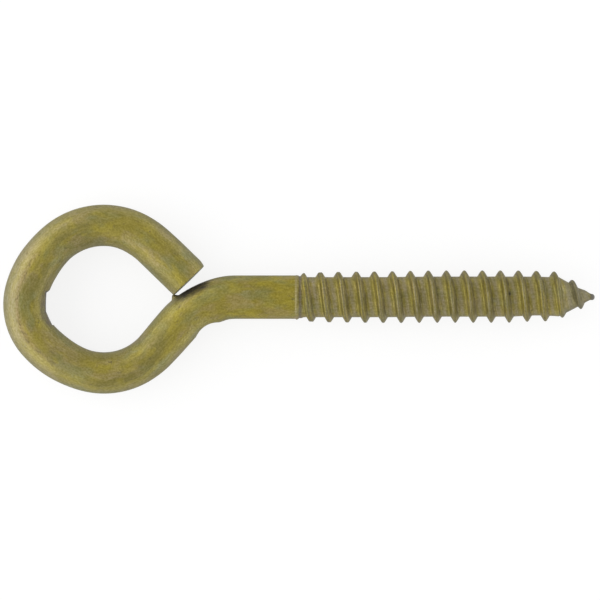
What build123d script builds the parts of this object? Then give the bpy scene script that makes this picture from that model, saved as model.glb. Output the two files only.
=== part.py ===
from build123d import *
from math import cos, radians, sin, tan
import os

# Eye lag bolt, made as the real one is: a single length of round steel wire. One end is
# bent into an eye that closes against its own leg, and the other end is rolled to a coarse
# right-hand thread for wood, with a gimlet point.
#
# Millimetres. The origin is in the middle of the eye, on the axis of the shank. +X runs to
# the point, +Y to the side of the eye where the wire ends, +Z square to the plane of the eye.

# Wire, and its bends from the shank to the cut end. The neck turns one way, and the eye's
# bends, each a radius and a turn in degrees, all turn the other way. The middle one is the
# crown.
wire_dia = 7.94
bend_x = 24.5
neck_radius = 13.5
neck_turn = 48.3
leg_length = 6.8
eye_bends = [(12.5, 69.4), (19.8, 26.3), (9.5, 59.9), (19.1, 28.0), (13.05, 88.9)]

# Cut end: its inner corner stops just short of the leg, and the shear left it off square
end_gap = 0.12
shear_tilt = 1.8
end_break = 0.2

# Marks of the bending tools: a round post beside the neck, at a share of its turn, and the
# stop that the crown was bent over, whose two flats (degrees along the crown from its
# middle, and depth) leave a tooth between them
post_dia = 8.6
post_bite = 0.4
post_at = 0.73
stop_flats = [(-34.0, 0.35), (26.0, 0.20)]

# Shank and thread
shank_length = 9.65
thread_turns = 15
pitch = 3.272
root_depth = 0.32
crest_height = 0.85
ridge_base = 1.65
flank_angle = 29.0
crest_room = 0.1

# Run-in: the dies took hold gently, so the first crests stand lower than the rest
run_in = 2.1
first_crest = 0.45
full_after = 27.0

# Gimlet point
point_half_angle = 29.0
point_ridge = 0.6
point_ridge_base = 0.9
nub_dia = 1.1
nub_length = 0.94

wire_r = wire_dia / 2
root_r = wire_r - root_depth
crest_r = wire_r + crest_height
nub_r = nub_dia / 2

# Neck and leg, from the shank to the eye
with BuildLine() as lead_path:
    neck = JernArc((bend_x, 0), (-1, 0), neck_radius, neck_turn)
    leg = PolarLine(neck @ 1, leg_length, direction=neck % 1)

# The eye's bends, and the straight arm that runs back to the leg until its inner side is one
# gap short of the leg's flank
with BuildLine() as eye_path:
    spot, heading = leg @ 1, leg % 1
    bends = []
    for radius, turn in eye_bends:
        bends.append(JernArc(spot, heading, radius, -turn))
        spot, heading = bends[-1] @ 1, bends[-1] % 1
    inner_side = spot + heading.rotate(Axis.Z, -90) * wire_r
    to_flank = abs((inner_side - leg @ 0).cross(leg % 0).Z) - wire_r
    inner_length = (to_flank - end_gap) / abs(heading.cross(leg % 0).Z)
    shear_slant = wire_r * tan(radians(shear_tilt))
    arm = PolarLine(spot, inner_length + 2 * shear_slant, direction=heading)
arm_end = spot + heading * (inner_length + shear_slant)

# Stations along the shank
thread_x = bend_x + shank_length
point_x = thread_x + thread_turns * pitch
taper = tan(radians(point_half_angle))
nub_x = point_x + (root_r - nub_r) / taper
tip_x = nub_x + nub_length


def polar(centre, radius, degrees):
    """The place at a radius and an angle from a centre, in the plane of the eye."""
    return centre + Vector(cos(radians(degrees)), sin(radians(degrees))) * radius


def ridge_section(path, at, base, height):
    """The thread's ridge, square to its helix: sloping flanks, a flat crest, and a foot that
    reaches a little way into the wire."""
    foot = path @ at
    slope = tan(radians(flank_angle))
    with BuildSketch(Plane(foot, x_dir=(0, foot.Y, foot.Z), z_dir=path % at)) as section:
        with BuildLine():
            Polyline(
                (-root_depth, -base / 2 - root_depth * slope),
                (height, -base / 2 + height * slope),
                (height, base / 2 - height * slope),
                (-root_depth, base / 2 + root_depth * slope),
                close=True,
            )
        make_face()
    return section.sketch


# One turn of the ridge, which the whole thread repeats
full_height = root_depth + crest_height
helix = Helix(pitch, pitch, root_r, (thread_x, 0, 0), (1, 0, 0), mode=Mode.PRIVATE)
with BuildPart() as one_turn:
    sweep(ridge_section(helix, 0, ridge_base, full_height), helix, is_frenet=True)

# Its last turns shrink as they wind down the cone of the point
spiral_length = (root_r - 1.5 * nub_r) / taper
spiral = Helix(
    pitch, spiral_length, root_r, (point_x, 0, 0), (1, 0, 0), -point_half_angle, mode=Mode.PRIVATE
)
with BuildPart() as last_turns:
    sections = [
        ridge_section(spiral, 0, ridge_base, full_height),
        ridge_section(spiral, 1, point_ridge_base, point_ridge),
    ]
    sweep(sections, spiral, multisection=True, is_frenet=True)

# Half section of the crests' envelope: it rises over the run-in, clears the full crests, and
# falls in line with the cone of the point
over_r = crest_r + crest_room
proud_x = point_ridge / taper
with BuildSketch() as envelope:
    with BuildLine():
        Polyline(
            (thread_x - pitch, 0),
            (thread_x - pitch, root_r),
            (thread_x, root_r),
            (thread_x + run_in, wire_r + first_crest),
            (thread_x + full_after, over_r),
            (point_x + proud_x - (over_r - root_r) / taper, over_r),
            (nub_x + proud_x, nub_r),
            (nub_x + proud_x, 0),
            close=True,
        )
    make_face()

with BuildPart() as ridge:
    for turn in range(thread_turns):
        add(one_turn.part.moved(Location((turn * pitch, 0, 0))))
    add(last_turns.part)
    revolve(envelope.sketch, axis=Axis.X, mode=Mode.INTERSECT)

with BuildPart() as eye_lag_bolt:
    # Eye: the round wire along its bends and arm, sheared off, with the sharp edge broken
    with BuildSketch(Plane(eye_path.line @ 0, z_dir=eye_path.line % 0)):
        Circle(wire_r)
    sweep(path=eye_path.line)
    with BuildSketch(Plane(arm_end, z_dir=heading.rotate(Axis.Z, -shear_tilt))):
        Circle(wire_dia)
    extrude(amount=wire_dia, mode=Mode.SUBTRACT)
    cut_face = eye_lag_bolt.faces().filter_by(GeomType.PLANE).sort_by_distance(arm_end)[0]
    chamfer(cut_face.edges(), end_break)

    # Flats of the stop, pressed into the inside of the crown from its middle outwards
    crown = len(eye_bends) // 2
    crown_centre = bends[crown].arc_center
    crown_r = eye_bends[crown][0] - wire_r
    outward = bends[crown] @ 0.5 - crown_centre
    middle = outward.get_signed_angle(Vector(1, 0, 0))
    for sweep_angle, bite in stop_flats:
        with BuildSketch():
            with BuildLine():
                Polyline(
                    polar(crown_centre, crown_r / 2, middle),
                    polar(crown_centre, crown_r + bite, middle),
                    polar(crown_centre, crown_r + bite, middle + sweep_angle),
                    polar(crown_centre, crown_r / 2, middle + sweep_angle),
                    close=True,
                )
            make_face()
        extrude(amount=wire_dia, both=True, mode=Mode.SUBTRACT)

    # Leg and neck, and the mark of the post on the inside of the neck
    with BuildSketch(Plane(lead_path.line @ 0, z_dir=lead_path.line % 0)):
        Circle(wire_r)
    sweep(path=lead_path.line)
    post_side = (neck @ post_at - neck.arc_center).normalized()
    post_offset = neck_radius - wire_r + post_bite - post_dia / 2
    with Locations(neck.arc_center + post_side * post_offset):
        Cylinder(post_dia / 2, 2 * wire_dia, mode=Mode.SUBTRACT)

    # Shank, root of the thread and point, with the ridge wound on them
    with BuildSketch():
        with BuildLine():
            Polyline(
                (bend_x, 0),
                (bend_x, wire_r),
                (thread_x + run_in / 2, wire_r),
                (thread_x + run_in, root_r),
                (point_x, root_r),
                (nub_x, nub_r),
                (tip_x, nub_r),
                (tip_x, 0),
                close=True,
            )
        make_face()
    revolve(axis=Axis.X)
    add(ridge.part)

eye_lag_bolt.part.label = "eye_lag_bolt"
os.makedirs("parts", exist_ok=True)
export_step(eye_lag_bolt.part, "parts/eye_lag_bolt.step")
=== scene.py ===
from math import copysign, cos, pi, radians, sin, tan

import bpy
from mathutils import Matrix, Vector


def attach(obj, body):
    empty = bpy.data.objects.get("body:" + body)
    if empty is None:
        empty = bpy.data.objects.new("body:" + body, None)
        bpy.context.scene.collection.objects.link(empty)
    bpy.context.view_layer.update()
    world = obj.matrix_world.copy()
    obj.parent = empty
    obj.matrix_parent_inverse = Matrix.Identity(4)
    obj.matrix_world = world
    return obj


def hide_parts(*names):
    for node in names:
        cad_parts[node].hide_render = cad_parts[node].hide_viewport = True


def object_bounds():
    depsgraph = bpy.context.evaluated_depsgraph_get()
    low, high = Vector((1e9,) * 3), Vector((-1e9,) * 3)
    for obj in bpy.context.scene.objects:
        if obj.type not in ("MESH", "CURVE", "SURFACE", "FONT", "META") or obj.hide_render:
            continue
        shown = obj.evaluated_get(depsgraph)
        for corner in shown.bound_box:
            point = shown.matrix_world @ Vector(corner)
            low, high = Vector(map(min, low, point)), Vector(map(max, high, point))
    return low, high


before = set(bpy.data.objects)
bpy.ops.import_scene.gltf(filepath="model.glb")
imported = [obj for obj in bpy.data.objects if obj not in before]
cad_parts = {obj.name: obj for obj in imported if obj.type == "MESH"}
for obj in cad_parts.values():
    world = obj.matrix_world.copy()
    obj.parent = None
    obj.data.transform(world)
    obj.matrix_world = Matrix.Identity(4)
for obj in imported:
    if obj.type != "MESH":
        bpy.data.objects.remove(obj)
cad_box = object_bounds()

# ---------------------------------------------------------------------------------------
# Eye lag bolt. One length of round drawn steel wire, 5/16 in thick: an eye is bent on one
# end, and a coarse right-hand thread with a gimlet point is rolled on the other. After that
# it was zinc plated and passivated yellow.

# Wire, and its bends from the shank to the cut end, each a radius and a turn to the left. The
# eye's middle bend is its crown. Sizes in this section are millimetres and degrees.
wire_radius = 3.97
bend_x = 24.5
neck_bend = (13.5, 48.3)
leg_length = 6.8
eye_bends = [(12.5, -69.4), (19.8, -26.3), (9.5, -59.9), (19.1, -28.0), (13.05, -88.9)]
crown = len(eye_bends) // 2
end_gap = 0.12
shear_tilt = 1.8

# Thread and point. The tip keeps a little room inside the solid's box.
thread_x = 34.15
pitch = 3.272
point_x = 83.23
point_slope = tan(radians(29.0))
root_radius = 3.67
nub_radius = 0.55
nub_x = point_x + (root_radius - nub_radius) / point_slope
tip_room = 0.01
tip_x = cad_box[1][0] * 1000 - tip_room

# Stretches of the thread, each from one place along the shank to another: the step from the
# wire down to the root, the ridge's run-in, and the first, early and last crests, which stand
# lower than the rest. After them the ridge leaves the straight for the cone, lags behind its
# helix, swells, and at the nub sinks and runs out. It also sways to one side for a few turns.
step_down = (35.9, 37.1)
run_in = (35.6, 36.9)
first_crests = (36.8, 41.5)
early_crests = (41.5, 60.0)
last_crests = (73.0, 82.5)
leaves_straight = (81.2, 84.2)
point_lag = (84.0, 86.0)
point_swell = (84.2, 85.6)
point_fade = (nub_x - 1.9, nub_x - 0.1)
run_out = (nub_x - 0.2, nub_x + 0.7)
sway_in = (50.0, 62.0)
sway_out = (76.0, 84.0)

# Rim and groove that the edge of the thread rolls left, and the half width of both
rim_x = 35.6
groove_x = 36.14
rim_half = 0.3


def direction(degrees):
    """The unit vector at an angle in the plane of the eye."""
    return Vector((cos(radians(degrees)), sin(radians(degrees)), 0.0))


# The line down the middle of the wire, from the tip to the cut end: its knots, each with its
# heading and the lengths of its two handles, and how far along the wire each knot lies
knots = [[Vector((tip_x, 0.0, 0.0)), 180.0, 0.0, 0.0]]
stations = [0.0]


def add_run(length):
    """A straight run at the end of the line."""
    start, heading = knots[-1][:2]
    knots[-1][3] = length / 3
    knots.append([start + direction(heading) * length, heading, length / 3, 0.0])
    stations.append(stations[-1] + length)


def add_bend(radius, turn):
    """A bend at the end of the line. It gives the place that the wire turns about."""
    start, heading = knots[-1][:2]
    side = 90.0 if turn > 0 else -90.0
    centre = start + direction(heading + side) * radius
    handle = 4 / 3 * tan(radians(abs(turn)) / 4) * radius
    knots[-1][3] = handle
    knots.append([centre - direction(heading + side + turn) * radius, heading + turn, handle, 0.0])
    stations.append(stations[-1] + radius * radians(abs(turn)))
    return centre


add_run(tip_x - bend_x)
neck_centre = add_bend(*neck_bend)
add_run(leg_length)
leg_place, leg_heading = knots[-1][:2]
eye_centres = [add_bend(*bend) for bend in eye_bends]

# The arm stops when its inner side is one gap short of the leg's flank
arm_place, arm_heading = knots[-1][:2]
leg_way = direction(leg_heading)
inner_side = arm_place + direction(arm_heading - 90.0) * wire_radius
to_flank = abs((inner_side - leg_place).cross(leg_way).z) - wire_radius
shear_slope = tan(radians(shear_tilt))
reach = (to_flank - end_gap) / abs(direction(arm_heading).cross(leg_way).z)
add_run(reach + wire_radius * shear_slope)
leg_start, leg_end, *eye_stations, wire_end = stations[2:]
crown_start, crown_end = eye_stations[crown - 1:crown + 1]
arm_start = eye_stations[-1]

line = bpy.data.curves.new("wire_line", "CURVE")
line.dimensions = "3D"
line.resolution_u = 64
spline = line.splines.new("BEZIER")
spline.bezier_points.add(len(knots) - 1)
for knot, (place, heading, before, after) in zip(spline.bezier_points, knots):
    knot.handle_left_type = "FREE"
    knot.handle_right_type = "FREE"
    knot.co = place
    knot.handle_left = place - direction(heading) * before
    knot.handle_right = place + direction(heading) * after
bolt_line = bpy.data.objects.new("bolt_line", line)
bpy.context.scene.collection.objects.link(bolt_line)

# The tree that winds the wire's surface round its line. Its rows run round the wire as one
# long spiral, a pitch of the thread to each turn of it, so that the thread's crests lie along
# them, and they stand further apart on the plain wire.
form = bpy.data.node_groups.new("rolled_wire", "GeometryNodeTree")
form.is_modifier = True
form.interface.new_socket(name="Line", in_out="INPUT", socket_type="NodeSocketGeometry")
form.interface.new_socket(name="Bolt", in_out="OUTPUT", socket_type="NodeSocketGeometry")
sizes = {
    "Wire Radius": wire_radius,
    "Root Radius": root_radius,
    "Crest Radius": 4.81,
    "Thread Start": thread_x,
    "Pitch": pitch,
    "Flank Slope": 1 / tan(radians(29.2)),
    "Crest Roundness": 0.34,
    "Crest Blend": 0.12,
    "Foot Blend": 0.15,
    "First Crest Cut": 0.39,
    "Early Crest Cut": 0.22,
    "Last Crest Cut": 0.13,
    "Run In Depth": 1.2,
    "Run Out Depth": 0.5,
    "Point Slope": point_slope,
    "Point Ridge Height": 0.58,
    "Point Ridge Swell": 0.32,
    "Point Ridge Fade": 0.7,
    "Point Lag": 0.04,
    "Point Fullness": 0.24,
    "Nub Radius": nub_radius,
    "Nub Start": nub_x,
    "Tip": tip_x,
    "Thread Wear": 0.27,
    "Thread Sway": 0.1,
    "Rim Height": 0.16,
    "Rim Groove": 0.12,
    "Eye Thinning": 0.19,
    "Crown Thinning": 0.11,
    "Neck Thinning": 0.19,
    "Post Bulge": 0.15,
    "Contact Bead": 0.68,
    "Pit Depth": 0.26,
    "Shear Slope": shear_slope,
    "Rollover": 0.28,
    "Edge Break": 0.07,
    "Unevenness": 0.03,
}
sockets = {}
for name in sizes:
    socket = form.interface.new_socket(name=name, in_out="INPUT", socket_type="NodeSocketFloat")
    sockets[name] = socket.identifier
size = form.nodes.new("NodeGroupInput").outputs


def put(tree, kind, *values, **settings):
    """A new node of a tree. Its settings are made, and its inputs filled or linked in order."""
    node = tree.nodes.new(kind)
    for name, setting in settings.items():
        setattr(node, name, setting)
    for socket, value in zip(node.inputs, values):
        if isinstance(value, bpy.types.NodeSocket):
            tree.links.new(value, socket)
        elif value is not None:
            socket.default_value = value
    return node


def calc(operation, *values):
    """A sum on numbers in the wire's tree."""
    return put(form, "ShaderNodeMath", *values, operation=operation).outputs[0]


def ramp(value, start, end, low, high, kind="LINEAR"):
    """A number that goes from low to high as a value goes from start to end."""
    node = put(form, "ShaderNodeMapRange", value, start, end, low, high, interpolation_type=kind)
    return node.outputs[0]


def eased(value, start, end, low=0.0, high=1.0):
    """A number that eases from low to high as a value goes from start to end."""
    return ramp(value, start, end, low, high, "SMOOTHSTEP")


def hump(value, middle, half_width):
    """1 at the middle, smoothly down to nothing at a half width from it."""
    away = calc("ABSOLUTE", calc("SUBTRACT", value, middle))
    return eased(away, 0.0, half_width, 1.0, 0.0)


def between(start, end):
    """1 along part of the wire, down to nothing over a span at both its ends."""
    half_span = 3.5
    rise = eased(along, start - half_span, start + half_span)
    fall = eased(along, end - half_span, end + half_span, 1.0, 0.0)
    return calc("MULTIPLY", rise, fall)


def vector(operation, *values):
    """A sum on vectors in the wire's tree."""
    return put(form, "ShaderNodeVectorMath", *values, operation=operation).outputs[0]


def measure(operation, *values):
    """The dot product or length of vectors in the wire's tree."""
    return put(form, "ShaderNodeVectorMath", *values, operation=operation).outputs[1]


def scaled(way, factor):
    """A vector in the wire's tree, times a number."""
    node = put(form, "ShaderNodeVectorMath", way, operation="SCALE")
    form.links.new(factor, node.inputs["Scale"])
    return node.outputs[0]


# Rows and columns. Each stretch of the wire is a count of rows and a length: first to a row
# that lies on the crest, next the thread at an even spacing, then the plain wire, which is
# closer where the end touches the neck, where the stop marked it and at the cut, and last the
# flat face of the cut. Where the thread starts, its crest is a quarter turn round the wire.
columns = 96
rows_per_turn = 30
row_step = pitch / rows_per_turn
crest_turn = 0.25
crest_row = ((tip_x - thread_x) / pitch - crest_turn) % (1 / rows_per_turn) * pitch
past_thread = 0.9
thread_rows = int((tip_x - thread_x + past_thread) / row_step)
fine_end = crest_row + thread_rows * row_step
contact = leg_start - 2.08
by_contact = 1.0
marks_start = crown_start - 3.0
marks_end = crown_end + 3.0
cut_start = wire_end - 1.2
face_rows = 12
spacings = [
    (3, crest_row),
    (thread_rows, fine_end - crest_row),
    (48, contact - by_contact - fine_end),
    (24, 2 * by_contact),
    (24, leg_end - contact - by_contact),
    (66, marks_start - leg_end),
    (118, marks_end - marks_start),
    (100, cut_start - marks_end),
    (14, wire_end - cut_start),
]
last_row = sum(rows for rows, length in spacings) + face_rows
row_count = last_row + rows_per_turn + 1
grid = put(form, "GeometryNodeMeshGrid", row_count - 1.0, 1.0, row_count, columns + 1)
place = put(form, "GeometryNodeInputPosition").outputs[0]
grid_place = put(form, "ShaderNodeSeparateXYZ", place).outputs
turn = calc("ADD", grid_place[1], 0.5)
row = calc("ADD", grid_place[0], (row_count - 1) / 2 - rows_per_turn)
row = calc("MULTIPLY_ADD", turn, float(rows_per_turn), row)
row = calc("MINIMUM", calc("MAXIMUM", row, 0.0), float(last_row))
along = 0.0
first = 0
for rows, length in spacings:
    along = calc("ADD", ramp(row, float(first), float(first + rows), 0.0, length), along)
    first += rows
cap = ramp(row, float(first), float(last_row), 1.0, 0.0)
angle = calc("MULTIPLY", turn, 2 * pi)
across = calc("COSINE", angle)
upward = calc("SINE", angle)
x = calc("SUBTRACT", size["Tip"], along)

# Body: the nub, the cone of the point, the root of the thread and the plain wire, with the
# raised rim and the groove that the edge of the thread rolls left
beyond = calc("SUBTRACT", size["Nub Start"], x)
cone = calc("MULTIPLY_ADD", beyond, size["Point Slope"], size["Nub Radius"])
plain = eased(x, *step_down, size["Wire Radius"], size["Root Radius"])
dome = calc("SUBTRACT", x, calc("SUBTRACT", size["Tip"], size["Nub Radius"]))
dome = calc("MAXIMUM", calc("DIVIDE", dome, size["Nub Radius"]), 0.0)
dome = calc("SUBTRACT", 1.0, calc("POWER", dome, 3.0))
dome = calc("SQRT", calc("MAXIMUM", dome, 0.0))
body = calc("MINIMUM", plain, calc("MAXIMUM", cone, size["Nub Radius"]))
body = calc("MULTIPLY", body, dome)
rim = calc("MULTIPLY", hump(x, rim_x, rim_half), size["Rim Height"])
rim = calc("MULTIPLY", rim, calc("MULTIPLY_ADD", across, 0.35, 0.65))
groove = calc("MULTIPLY", hump(x, groove_x, rim_half), size["Rim Groove"])
body = calc("SUBTRACT", calc("ADD", body, rim), groove)

# Ridge of the thread: straight flanks to a rounded crest, which the rolls didn't fill over
# the first turns. How far each place lies from the crest comes from its turn round the wire
# and its place along it.
phase = calc("DIVIDE", calc("SUBTRACT", x, size["Thread Start"]), size["Pitch"])
phase = calc("ADD", phase, calc("SUBTRACT", turn, crest_turn))
phase = calc("SUBTRACT", phase, ramp(x, *point_lag, 0.0, size["Point Lag"]))
off_crest = calc("SUBTRACT", calc("FRACT", calc("ADD", phase, 0.5)), 0.5)
off_crest = calc("MULTIPLY", off_crest, size["Pitch"])
fall = calc("POWER", calc("MULTIPLY", calc("ABSOLUTE", off_crest), size["Flank Slope"]), 2.0)
fall = calc("ADD", fall, calc("POWER", size["Crest Roundness"], 2.0))
fall = calc("SUBTRACT", calc("SQRT", fall), size["Crest Roundness"])
ridge = calc("SUBTRACT", size["Crest Radius"], fall)
cut = calc("SUBTRACT", size["First Crest Cut"], size["Early Crest Cut"])
cut = calc("MULTIPLY", ramp(x, *first_crests, 1.0, 0.0), cut)
cut = calc("MULTIPLY_ADD", ramp(x, *early_crests, 1.0, 0.0), size["Early Crest Cut"], cut)
cut = calc("MULTIPLY_ADD", ramp(x, *last_crests, 0.0, 1.0), size["Last Crest Cut"], cut)
crest = calc("SUBTRACT", size["Crest Radius"], cut)
point_ridge = calc("MULTIPLY", eased(x, *point_swell), size["Point Ridge Swell"])
point_ridge = calc("ADD", point_ridge, size["Point Ridge Height"])
point_ridge = calc("SUBTRACT", point_ridge, eased(x, *point_fade, 0.0, size["Point Ridge Fade"]))
crest = calc("MINIMUM", crest, calc("ADD", cone, point_ridge))
crest = calc("SUBTRACT", crest, eased(x, *run_in, size["Run In Depth"], 0.0))
crest = calc("SUBTRACT", crest, eased(x, *run_out, 0.0, size["Run Out Depth"]))
lowered = calc("SUBTRACT", size["Crest Radius"], crest)
ridge = calc("SUBTRACT", ridge, calc("MULTIPLY", ramp(x, *leaves_straight, 0.0, 1.0), lowered))
ridge = calc("SMOOTH_MIN", ridge, crest, size["Crest Blend"])
radius = calc("SMOOTH_MAX", body, ridge, size["Foot Blend"])

# Use and the hand of the maker. Drawn wire isn't quite even, the last turns of the thread are
# worn on the outer side, and the ridge is fuller on the inner side of the point.
outer = calc("MAXIMUM", across, 0.0)
inner = calc("MAXIMUM", calc("MULTIPLY", across, -1.0), 0.0)
round_place = put(form, "ShaderNodeCombineXYZ", calc("MULTIPLY", along, 0.25), across, upward)
lumps = put(form, "ShaderNodeTexNoise", round_place.outputs[0], noise_dimensions="3D")
lumps.inputs["Scale"].default_value = 1.3
lumps.inputs["Detail"].default_value = 3.0
lumps = calc("MULTIPLY", lumps.outputs[0], calc("MULTIPLY", size["Unevenness"], dome))
worn = calc("MULTIPLY", hump(x, 80.2, 6.6), calc("MULTIPLY", outer, size["Thread Wear"]))
full_point = calc("MULTIPLY", inner, size["Point Fullness"])
full_point = calc("MULTIPLY", hump(x, nub_x - 0.7, 1.65), full_point)

# A bead of zinc where the cut end nearly touches the neck, on the inner side
from_contact = put(form, "ShaderNodeCombineXYZ", calc("SUBTRACT", along, contact),
                   calc("MULTIPLY", upward, size["Wire Radius"]), 0.0).outputs[0]
at_contact = hump(measure("LENGTH", from_contact), 0.0, 0.7)
at_contact = calc("MULTIPLY", at_contact, calc("LESS_THAN", across, 0.0))
bead = calc("MULTIPLY", at_contact, size["Contact Bead"])

# The shear drags the outer edge of the cut end down, and all of its edge is a little broken
to_end = calc("SUBTRACT", wire_end, along)
roll = calc("POWER", ramp(to_end, 0.0, 1.5, 1.0, 0.0), 2.0)
roll = calc("MULTIPLY", roll, calc("MULTIPLY", size["Rollover"], outer))
edge = calc("POWER", ramp(to_end, 0.0, 0.16, 1.0, 0.0), 2.0)
edge = calc("MULTIPLY", edge, size["Edge Break"])

# Bending thinned the wire round the eye and in the neck, flattened the back of the crown, and
# pushed up a bulge beside the post's dent in the neck
crown_middle = (crown_start + crown_end) / 2
flattened = calc("MULTIPLY", hump(along, crown_middle, 8.0), size["Crown Thinning"])
flattened = calc("MULTIPLY", flattened, outer)
thin_outside = between(leg_end, crown_start - 7.0)
thin_outside = calc("ADD", thin_outside, between(crown_end + 7.0, arm_start))
thin_inside = between(leg_end - 2.5, crown_start - 6.0)
thin_inside = calc("ADD", thin_inside, between(crown_end + 7.5, arm_start - 5.5))
thinned = calc("MULTIPLY_ADD", thin_inside, inner, calc("MULTIPLY", thin_outside, outer))
thinned = calc("MULTIPLY", thinned, size["Eye Thinning"])
strained = calc("MULTIPLY", inner, size["Neck Thinning"])
strained = calc("MULTIPLY", hump(along, leg_start - 5.0, 6.0), strained)
bulge = calc("MULTIPLY", outer, size["Post Bulge"])
bulge = calc("MULTIPLY", hump(along, leg_start - 7.5, 2.4), bulge)

# Two pits in the root near the point, on top: each a place along and across the wire, and a
# share of the full depth. They are a little longer across than along.
deep_pits = [(74.06, -0.50, 1.0), (73.80, -2.40, 0.45)]
pit_squeeze = 0.66
pit_reach = 0.36
pitted = 0.0
for pit_x, pit_aside, share in deep_pits:
    off_pit = calc("SUBTRACT", calc("MULTIPLY", across, size["Root Radius"]), pit_aside)
    off_pit = calc("MULTIPLY", off_pit, pit_squeeze)
    from_pit = put(form, "ShaderNodeCombineXYZ", calc("SUBTRACT", x, pit_x), off_pit, 0.0)
    hole = hump(measure("LENGTH", from_pit.outputs[0]), 0.0, pit_reach)
    pitted = calc("ADD", pitted, calc("MULTIPLY", hole, share))
pitted = calc("MULTIPLY", pitted, calc("GREATER_THAN", upward, 0.0))
pit = calc("MULTIPLY", pitted, size["Pit Depth"])

for gain in (bulge, bead, full_point):
    radius = calc("ADD", radius, gain)
for loss in (lumps, roll, edge, flattened, thinned, strained, worn, pit):
    radius = calc("SUBTRACT", radius, loss)
radius = calc("MULTIPLY", radius, cap)

# From the line out to the surface, with the shear's slant at the cut end, and the slight sway
# of the thread to one side
sample = form.nodes.new("GeometryNodeSampleCurve")
sample.mode = "LENGTH"
form.links.new(size["Line"], sample.inputs["Curves"])
form.links.new(along, sample.inputs["Length"])
tangent = sample.outputs["Tangent"]
sideways = vector("NORMALIZE", vector("CROSS_PRODUCT", (0.0, 0.0, 1.0), tangent))
aside = calc("MULTIPLY", radius, across)
lift = calc("MULTIPLY", radius, upward)
tilt = calc("MULTIPLY", aside, size["Shear Slope"])
tilt = calc("MULTIPLY", tilt, ramp(to_end, 0.0, 3.0, 1.0, 0.0))
sway = calc("MULTIPLY", eased(x, *sway_in), size["Thread Sway"])
sway = calc("MULTIPLY", sway, eased(x, *sway_out, 1.0, 0.0))
surface = vector("ADD", sample.outputs["Position"], scaled(sideways, calc("SUBTRACT", aside, sway)))
surface = vector("ADD", surface, put(form, "ShaderNodeCombineXYZ", 0.0, 0.0, lift).outputs[0])
surface = vector("ADD", surface, scaled(tangent, tilt))


def keep(mesh, name, value, data_type="FLOAT"):
    """The mesh with a value of each point kept under a name, for the finish to read."""
    node = put(form, "GeometryNodeStoreNamedAttribute", mesh, data_type=data_type, domain="POINT")
    node.inputs["Name"].default_value = name
    form.links.new(value, node.inputs["Value"])
    return node.outputs[0]


# Where each place lay on the drawn wire, and on the thread as the rolls drew it out
drawn_place = put(form, "ShaderNodeCombineXYZ", along, aside, lift).outputs[0]
rolled_place = put(form, "ShaderNodeCombineXYZ", calc("MULTIPLY", across, 1.5),
                   calc("MULTIPLY_ADD", upward, 1.5, calc("MULTIPLY", x, 0.35)),
                   calc("MULTIPLY", off_crest, 5.0)).outputs[0]

# Dirt, wear and painted light, each a stretch of the wire and a part of the way round it:
# painted shade on the neck under the cut end and where the end nearly touches it, a stain inside
# the crown where the stop pressed, the sides that the bending tools held, which also paint the
# sheen of the edges seen from above, and the back of the eye, rubbed pale and so also painting
# the left lamp's highlight paler, up to a line of scuffs on top
in_gap = calc("MULTIPLY", eased(along, leg_start - 8.2, leg_start - 6.4),
              eased(along, leg_start - 3.4, leg_start - 1.0, 1.0, 0.0))
under_end_shade = calc("MULTIPLY", in_gap, eased(across, -0.48, -0.80))
from_stop = calc("ABSOLUTE", calc("SUBTRACT", along, crown_middle + 1.0))
at_stop = eased(from_stop, 3.5, 7.5, 1.0, 0.0)
bent = eased(along, leg_start - 11.0, leg_start - 1.0)
grip_wear_and_edge_sheen = eased(calc("ABSOLUTE", across), 0.40, 0.95, 0.25, 1.0)
on_back = calc("MULTIPLY", hump(along, crown_middle + 3.0, 23.0),
               calc("GREATER_THAN", upward, -0.5))
on_top = calc("MULTIPLY", hump(along, crown_middle, 17.0), calc("GREATER_THAN", upward, 0.0))
marks = {
    "off_crest": calc("ABSOLUTE", off_crest),
    "point_side": calc("SINE", calc("MULTIPLY", phase, 2 * pi)),
    "threaded": eased(x, 35.9, 37.3),
    "rim_line": hump(x, 35.5, 0.45),
    "groove_line": hump(x, 36.2, 0.55),
    "cut_face": calc("SUBTRACT", 1.0, cap),
    "pitted": pitted,
    "under_end_shade": calc("MAXIMUM", under_end_shade, at_contact),
    "stained": calc("MULTIPLY", at_stop, eased(across, -0.68, -0.88)),
    "grip_wear_and_edge_sheen": calc("MULTIPLY", bent, grip_wear_and_edge_sheen),
    "rubbed_and_highlight": calc("MULTIPLY", on_back, eased(aside, 0.9, 1.9)),
    "scuffed": calc("MULTIPLY", on_top, hump(aside, 1.1, 0.75)),
}
mesh = keep(grid.outputs[0], "drawn_place", drawn_place, "FLOAT_VECTOR")
mesh = keep(mesh, "rolled_place", rolled_place, "FLOAT_VECTOR")
for name, value in marks.items():
    mesh = keep(mesh, name, value)
mesh = put(form, "GeometryNodeSetPosition", mesh, None, surface).outputs[0]

# Marks of the bending tools, pressed into the wire. The stop left two flats inside the crown
# of the eye, with a tooth between them: each is a turn from the crown's middle, a depth, a
# lean, and the length that its outer end runs out over. All of both is a little deeper still.
stop_flats = [(-34.0, 0.30, 4.0, 0.6), (26.0, 0.16, -1.0, 0.15)]
deeper = 0.1
kept_place = put(form, "GeometryNodeInputNamedAttribute", "drawn_place", data_type="FLOAT_VECTOR")
kept_along = put(form, "ShaderNodeSeparateXYZ", kept_place.outputs[0]).outputs[0]
crown_inside = eye_bends[crown][0] - wire_radius
crown_heading = knots[stations.index(crown_start)][1] + eye_bends[crown][1] / 2 + 90.0
from_middle = calc("ABSOLUTE", calc("SUBTRACT", kept_along, crown_middle))
at_crown = calc("LESS_THAN", from_middle, marks_end - crown_middle)
chatter = put(form, "ShaderNodeTexNoise", kept_place.outputs[0], noise_dimensions="3D")
chatter.inputs["Scale"].default_value = 1.6
chatter = chatter.outputs[0]
from_crown = vector("SUBTRACT", place, tuple(eye_centres[crown]))
shift = (0.0, 0.0, 0.0)
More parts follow.
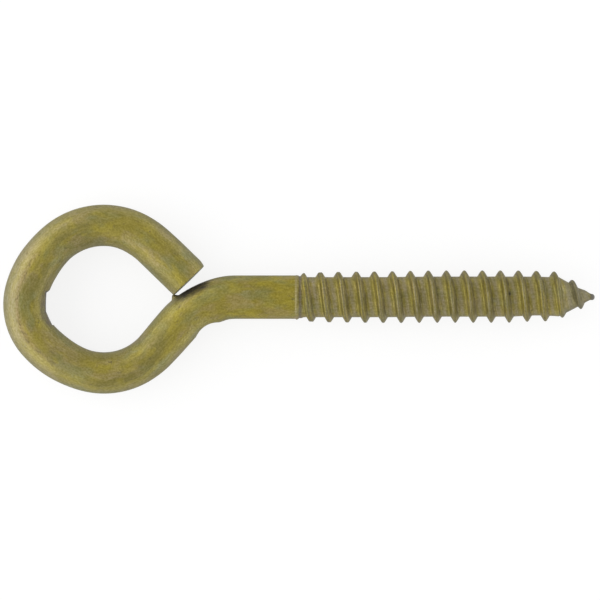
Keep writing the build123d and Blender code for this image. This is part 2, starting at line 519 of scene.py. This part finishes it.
for flat_turn, bite, lean, fading in stop_flats:
    facing = direction(crown_heading + flat_turn / 2 + lean)
    outwards = direction(crown_heading + flat_turn / 2 + copysign(90.0, flat_turn))
    flat_place = (crown_inside + bite) * cos(radians(flat_turn / 2))
    flat_half = (crown_inside + bite) * sin(radians(abs(flat_turn) / 2))
    depth = measure("DOT_PRODUCT", from_crown, tuple(facing))
    depth = calc("SUBTRACT", flat_place + deeper, depth)
    sideslip = measure("DOT_PRODUCT", from_crown, tuple(outwards))
    within = calc("MULTIPLY", calc("GREATER_THAN", sideslip, -flat_half), at_crown)
    within = calc("MULTIPLY", within, ramp(sideslip, flat_half, flat_half + fading, 1.0, 0.0))
    depth = calc("MULTIPLY", calc("MAXIMUM", depth, 0.0), within)
    depth = calc("MULTIPLY", depth, ramp(chatter, 0.35, 0.65, 0.75, 1.2))
    shift = vector("ADD", scaled(tuple(facing), depth), shift)
mesh = keep(mesh, "pressed", measure("LENGTH", shift))

# The round post dented the inside of the neck's bend, at a share of its turn
post_radius = 4.3
post_bite = 0.4
post_at = 0.73
post_side = direction(90.0 + post_at * neck_bend[1])
post_away = neck_bend[0] - wire_radius + post_bite - post_radius
post_centre = neck_centre + post_side * post_away
from_post = vector("SUBTRACT", place, tuple(post_centre))
from_post = vector("MULTIPLY", from_post, (1.0, 1.0, 0.0))
depth = calc("SUBTRACT", post_radius, measure("LENGTH", from_post))
push = scaled(vector("NORMALIZE", from_post), calc("MAXIMUM", depth, 0.0))
shift = vector("ADD", shift, push)
mesh = put(form, "GeometryNodeSetPosition", mesh, None, None, shift).outputs[0]

# Closed into one skin that faces outwards, with its sharp edges kept, in metres
sharp_edge = radians(50.0)
merged = put(form, "GeometryNodeMergeByDistance", mesh)
merged.inputs["Distance"].default_value = 0.0005
mesh = put(form, "GeometryNodeFlipFaces", merged.outputs[0]).outputs[0]
mesh = put(form, "GeometryNodeSetShadeSmooth", mesh).outputs[0]
fold = put(form, "GeometryNodeInputMeshEdgeAngle").outputs[0]
creased = put(form, "GeometryNodeSetShadeSmooth", mesh, domain="EDGE")
form.links.new(calc("GREATER_THAN", fold, sharp_edge), creased.inputs["Selection"])
creased.inputs["Shade Smooth"].default_value = False
scale = put(form, "GeometryNodeTransform", creased.outputs[0])
scale.inputs["Scale"].default_value = (0.001, 0.001, 0.001)
mesh = put(form, "GeometryNodeRealizeInstances", scale.outputs[0]).outputs[0]
finish = bpy.data.materials.new("yellow_zinc")
finish.use_nodes = True
coated = put(form, "GeometryNodeSetMaterial", mesh)
coated.inputs["Material"].default_value = finish
put(form, "NodeGroupOutput", coated.outputs[0])

winding = bolt_line.modifiers.new("rolled_wire", "NODES")
winding.node_group = form
for name, identifier in sockets.items():
    winding[identifier] = sizes[name]
bpy.context.view_layer.update()
wound = bolt_line.evaluated_get(bpy.context.evaluated_depsgraph_get())
bolt = bpy.data.objects.new("zinc_eye_lag_bolt", bpy.data.meshes.new_from_object(wound))
bpy.context.scene.collection.objects.link(bolt)
bolt_line.modifiers.remove(winding)
bpy.data.objects.remove(bolt_line)

# Its finish: a thin glassy passivated skin over zinc, in saturated yellow where it is fresh,
# and beige, green-grey or dark where it is thin, rubbed or dirty, with some painted light and
# shade as well. The patterns follow the wire as it was drawn, before it was bent.
skin = finish.node_tree
shader = skin.nodes["Principled BSDF"]


def attribute(name, output="Fac"):
    """What the wire's tree kept under a name."""
    return put(skin, "ShaderNodeAttribute", attribute_name=name).outputs[output]


def pattern(cycles, detail, start, end, shift=0.0, low=0.0, high=1.0):
    """A cloudy mask, with so many cycles a millimetre along the wire and across it."""
    place = put(skin, "ShaderNodeVectorMath", drawn, (cycles[0], cycles[1], cycles[1]),
                (shift, shift, shift), operation="MULTIPLY_ADD")
    return clouds(place.outputs[0], detail, start, end, low, high)


def clouds(place, detail, start, end, low=0.0, high=1.0):
    """A cloudy mask over a place, from low to high."""
    cloud = put(skin, "ShaderNodeTexNoise", place)
    cloud.inputs["Scale"].default_value = 1.0
    cloud.inputs["Detail"].default_value = detail
    cloud.inputs["Roughness"].default_value = 0.6
    return fade(cloud.outputs[0], start, end, low, high)


def fade(value, start, end, low=0.0, high=1.0):
    """A number that eases from low to high as a value goes from start to end."""
    node = put(skin, "ShaderNodeMapRange", value, start, end, low, high,
               interpolation_type="SMOOTHSTEP")
    return node.outputs[0]


def times(*values):
    """The product of masks."""
    product = values[0]
    for value in values[1:]:
        product = put(skin, "ShaderNodeMath", product, value, operation="MULTIPLY").outputs[0]
    return product


def tint(mask, under, over, blend="MIX"):
    """A colour with another laid over it where a mask says."""
    node = put(skin, "ShaderNodeMix", mask, data_type="RGBA", blend_type=blend)
    for socket, value in zip((node.inputs[6], node.inputs[7]), (under, over)):
        if isinstance(value, bpy.types.NodeSocket):
            skin.links.new(value, socket)
        else:
            socket.default_value = (*value, 1.0)
    return node.outputs[2]


drawn = attribute("drawn_place", "Vector")
rolled = attribute("rolled_place", "Vector")
off_crest, point_side, threaded, rim_line, groove_line, cut_face = [
    attribute(name)
    for name in ("off_crest", "point_side", "threaded", "rim_line", "groove_line", "cut_face")
]
pressed, under_end_shade, pitted, stained, grip_wear_and_edge_sheen, rubbed_and_highlight, scuffed = [
    attribute(name)
    for name in ("pressed", "under_end_shade", "pitted", "stained", "grip_wear_and_edge_sheen", "rubbed_and_highlight", "scuffed")
]

yellow = (0.307, 0.250, 0.032)
bright_yellow = (0.372, 0.304, 0.028)
olive = (0.230, 0.194, 0.039)
beige = (0.334, 0.262, 0.098)
green_grey = (0.234, 0.236, 0.084)
rubbed_highlight_beige = (0.330, 0.294, 0.188)
worn_and_edge_sheen_grey = (0.270, 0.262, 0.172)
stain_brown = (0.154, 0.126, 0.096)
pit_brown = (0.060, 0.045, 0.036)
scuff_brown = (0.290, 0.212, 0.098)
speck_brown = (0.141, 0.110, 0.042)
lit_flank_yellow = (0.319, 0.268, 0.066)
crest_beige = (0.196, 0.170, 0.084)
shaded_flank_grey = (0.290, 0.254, 0.140)
seam_brown = (0.137, 0.109, 0.047)
root_grey = (0.304, 0.260, 0.150)
point_grey = (0.163, 0.157, 0.117)
root_shadow_and_groove_brown = (0.150, 0.126, 0.106)
tool_mark_and_shade_grey = (0.085, 0.077, 0.063)
sheared_grey = (0.234, 0.223, 0.155)
pinched_grey = (0.176, 0.166, 0.150)

# Patches of colour on the yellow, from a few millimetres long down to spots: each a pattern,
# how much of it shows, and its colour
patches = [
    ((0.10, 0.20), 2.0, 0.40, 0.62, 0.0, 1.0, olive),
    ((0.18, 0.34), 2.0, 0.46, 0.64, 17.0, 0.6, beige),
    ((0.16, 0.30), 2.0, 0.48, 0.66, 41.0, 0.55, green_grey),
    ((0.30, 0.60), 1.5, 0.50, 0.68, 53.0, 0.5, bright_yellow),
    ((0.90, 1.60), 3.0, 0.60, 0.72, 29.0, 0.45, speck_brown),
]
colour = yellow
for cycles, detail, start, end, shift, share, patch_colour in patches:
    patch = pattern(cycles, detail, start, end, shift, 0.0, share)
    colour = tint(patch, colour, patch_colour)

# The sides that the tools held are burnished grey, which also paints the pale sheen that these
# edges, seen from above, mirror at a slant. Along the back of the eye the coat is rubbed pale,
# which also paints the left lamp's highlight paler, up to a line of scuffs on top of the wire.
colour = tint(times(grip_wear_and_edge_sheen, 0.36), colour, worn_and_edge_sheen_grey)
colour = tint(times(rubbed_and_highlight, 0.36), colour, rubbed_highlight_beige)
colour = tint(times(scuffed, 0.6), colour, scuff_brown)
dashes = pattern((0.85, 1.9), 3.0, 0.52, 0.62, 23.0)
colour = tint(times(fade(scuffed, 0.1, 0.5), dashes, 0.6), colour, speck_brown)

# On the thread: a grey root, and four bands along the ridge, each begun and ended at
# distances from the crest, and on the side of the eye or of the point. They are the flank
# towards the eye, painted bright as lit by the lamp, the flank towards the point, painted grey
# as its shaded side, the seam where the rolls folded the metal over, and a painted shadow in
# the corner of the root on the point side, under the ridge.
in_root = fade(off_crest, 0.8, 1.6, 0.0, 0.7)
colour = tint(times(threaded, in_root), colour, root_grey)
bands = [
    ((0.40, 0.60), (1.00, 1.60), (0.0, -0.4), 0.6, lit_flank_yellow),
    ((0.20, 0.45), (0.60, 1.00), (0.1, 0.6), 0.6, shaded_flank_grey),
    ((0.28, 0.44), (0.52, 0.68), (-0.3, -0.6), 0.6, seam_brown),
    # Painted shadow in the corner of the root on the point side
    ((0.64, 0.78), (0.86, 1.02), (0.3, 0.6), 0.25, root_shadow_and_groove_brown),
]
for begin, end, side, share, band_colour in bands:
    band = times(fade(off_crest, *begin), fade(off_crest, *end, 1.0, 0.0), fade(point_side, *side))
    colour = tint(times(threaded, band, share), colour, band_colour)

# A rubbed crest, streaks that the rolls drew along the thread, and its rim and groove
colour = tint(times(threaded, fade(off_crest, 0.10, 0.34, 0.8, 0.0)), colour, crest_beige)
streaks = clouds(rolled, 2.0, 0.32, 0.68)
streaked = tint(1.0, colour, tint(streaks, (0.82, 0.82, 0.68), (1.18, 1.18, 1.32)), "MULTIPLY")
colour = tint(threaded, colour, streaked)
colour = tint(times(rim_line, 0.6), colour, root_grey)
colour = tint(times(groove_line, 0.75), colour, root_shadow_and_groove_brown)

# Fine marks: faint drawing lines, specks, and a few pits
lines = pattern((0.50, 2.6), 2.0, 0.30, 0.70, 5.0)
specks = pattern((2.7, 3.3), 2.0, 0.32, 0.68, 9.0)
pits = pattern((1.1, 1.3), 3.0, 0.67, 0.73, 63.0)
colour = tint(1.0, colour, tint(lines, (0.92, 0.92, 0.82), (1.06, 1.06, 1.17)), "MULTIPLY")
colour = tint(1.0, colour, tint(specks, (0.84, 0.84, 0.70), (1.15, 1.15, 1.30)), "MULTIPLY")
colour = tint(times(pits, 0.7), colour, seam_brown)

# Where the tools bit, the stain, the two larger pits, painted shade on the neck under the cut
# end, the sheared face, and the point, which is greyer, with its pinched nub greyer still
rough = pattern((1.4, 1.4), 3.0, 0.35, 0.60, 77.0, 0.45, 0.9)
blotches = pattern((0.7, 1.8), 2.5, 0.38, 0.64, 17.0, 0.2, 0.85)
under_end_shade_mottle = pattern((1.2, 1.6), 3.0, 0.30, 0.60, 85.0, 0.5, 1.0)
colour = tint(times(fade(pressed, 0.03, 0.12), rough), colour, tool_mark_and_shade_grey)
colour = tint(times(stained, blotches), colour, stain_brown)
colour = tint(times(pitted, 0.9), colour, pit_brown)
colour = tint(times(under_end_shade, under_end_shade_mottle), colour, tool_mark_and_shade_grey)
colour = tint(times(cut_face, 0.7), colour, sheared_grey)
from_tip = put(skin, "ShaderNodeSeparateXYZ", drawn).outputs[0]
colour = tint(fade(from_tip, 4.0, 6.5, 0.55, 0.0), colour, point_grey)
colour = tint(fade(from_tip, 0.45, 0.95, 0.85, 0.0), colour, pinched_grey)
skin.links.new(colour, shader.inputs["Base Color"])

# Between metal and glass: the zinc shines through the coat, and mirrors so dimly at a slant
# that the wire's edges stay dark against the white around it
shader.inputs["Metallic"].default_value = 0.4
shader.inputs["IOR"].default_value = 2.2
shader.inputs["Specular Tint"].default_value = (0.17, 0.17, 0.17, 1.0)
shader.inputs["Roughness"].default_value = 0.4

# Relief of the fine marks
relief = specks
for mark, height in ((lines, 0.5), (pits, -1.5), (times(threaded, streaks), 0.6)):
    relief = put(skin, "ShaderNodeMath", mark, height, relief, operation="MULTIPLY_ADD").outputs[0]
raised = put(skin, "ShaderNodeBump")
raised.inputs["Strength"].default_value = 0.5
raised.inputs["Distance"].default_value = 0.00004
skin.links.new(relief, raised.inputs["Height"])
skin.links.new(raised.outputs[0], shader.inputs["Normal"])

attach(bolt, "root")
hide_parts("eye_lag_bolt")

# ---------------------------------------------------------------------------------------
# Floor: a wide sheet of white paper under the bolt. It takes a soft shadow, and is white
# where it is looked at or mirrored.
floor_reach = 3.0
lowest = cad_box[0][2]
quarters = ((-1, -1), (1, -1), (1, 1), (-1, 1))
corners = [(floor_reach * a, floor_reach * b, lowest) for a, b in quarters]
floor_mesh = bpy.data.meshes.new("floor")
floor_mesh.from_pydata(corners, [], [(0, 1, 2, 3)])
floor = bpy.data.objects.new("floor", floor_mesh)
bpy.context.scene.collection.objects.link(floor)
paper = bpy.data.materials.new("white_paper")
paper.use_nodes = True
sheet = paper.node_tree
paper_shader = sheet.nodes["Principled BSDF"]
paper_shader.inputs["Base Color"].default_value = (0.2, 0.2, 0.2, 1.0)
paper_shader.inputs["Roughness"].default_value = 1.0
paper_shader.inputs["Specular IOR Level"].default_value = 0.0
paper_shader.inputs["Emission Color"].default_value = (1.0, 1.0, 1.0, 1.0)


def shown_rays(tree):
    """1 for what the camera sees straight, in a mirror or through glass, and otherwise 0."""
    path = tree.nodes.new("ShaderNodeLightPath").outputs
    shown = path["Is Camera Ray"]
    for other in ("Is Glossy Ray", "Is Transmission Ray"):
        shown = put(tree, "ShaderNodeMath", shown, path[other], operation="MAXIMUM").outputs[0]
    return shown


paper_glow = 0.83
glow = put(sheet, "ShaderNodeMath", shown_rays(sheet), paper_glow, operation="MULTIPLY")
sheet.links.new(glow.outputs[0], paper_shader.inputs["Emission Strength"])
floor_mesh.materials.append(paper)

# ---------------------------------------------------------------------------------------
# Light: a wide soft box low on the left, a weak strip on the right, and an even white room
middle = (Vector(cad_box[0]) + Vector(cad_box[1])) / 2


def soft_box(name, place, width, height, glow):
    """A soft box that faces the middle of the bolt. A glow of 1 is white."""
    lamp = bpy.data.lights.new(name, "AREA")
    lamp.shape = "RECTANGLE"
    lamp.size = width
    lamp.size_y = height
    lamp.energy = glow * pi * width * height
    box = bpy.data.objects.new(name, lamp)
    box.location = place
    box.rotation_euler = (middle - Vector(place)).to_track_quat("-Z", "Y").to_euler()
    bpy.context.scene.collection.objects.link(box)


soft_box("left_box", (-0.60, 0.0, 0.33), 2.3, 0.75, 1.7)
soft_box("right_strip", (0.62, 0.0, 0.12), 2.2, 0.2, 2.2)

world = bpy.data.worlds.new("white_room")
world.use_nodes = True
bpy.context.scene.world = world
background = world.node_tree.nodes["Background"]
background.inputs["Color"].default_value = (1.0, 1.0, 1.0, 1.0)
background.inputs["Strength"].default_value = 0.60

# ---------------------------------------------------------------------------------------
# Camera: a long lens straight above the bolt, at the distance where its view is as wide as
# wanted at the middle of the wire, and aimed a little off the middle of the bolt
view_width = 0.10908
aim_right = 0.00024
aim_down = 0.00016
camera_data = bpy.data.cameras.new("camera")
camera_data.lens = 200.0
camera_data.sensor_width = 36.0
distance = view_width * camera_data.lens / camera_data.sensor_width
camera = bpy.data.objects.new("camera", camera_data)
camera.location = (middle.x + aim_right, middle.y - aim_down, distance)
bpy.context.scene.collection.objects.link(camera)
bpy.context.scene.camera = camera
bpy.context.scene.view_settings.view_transform = "Standard"
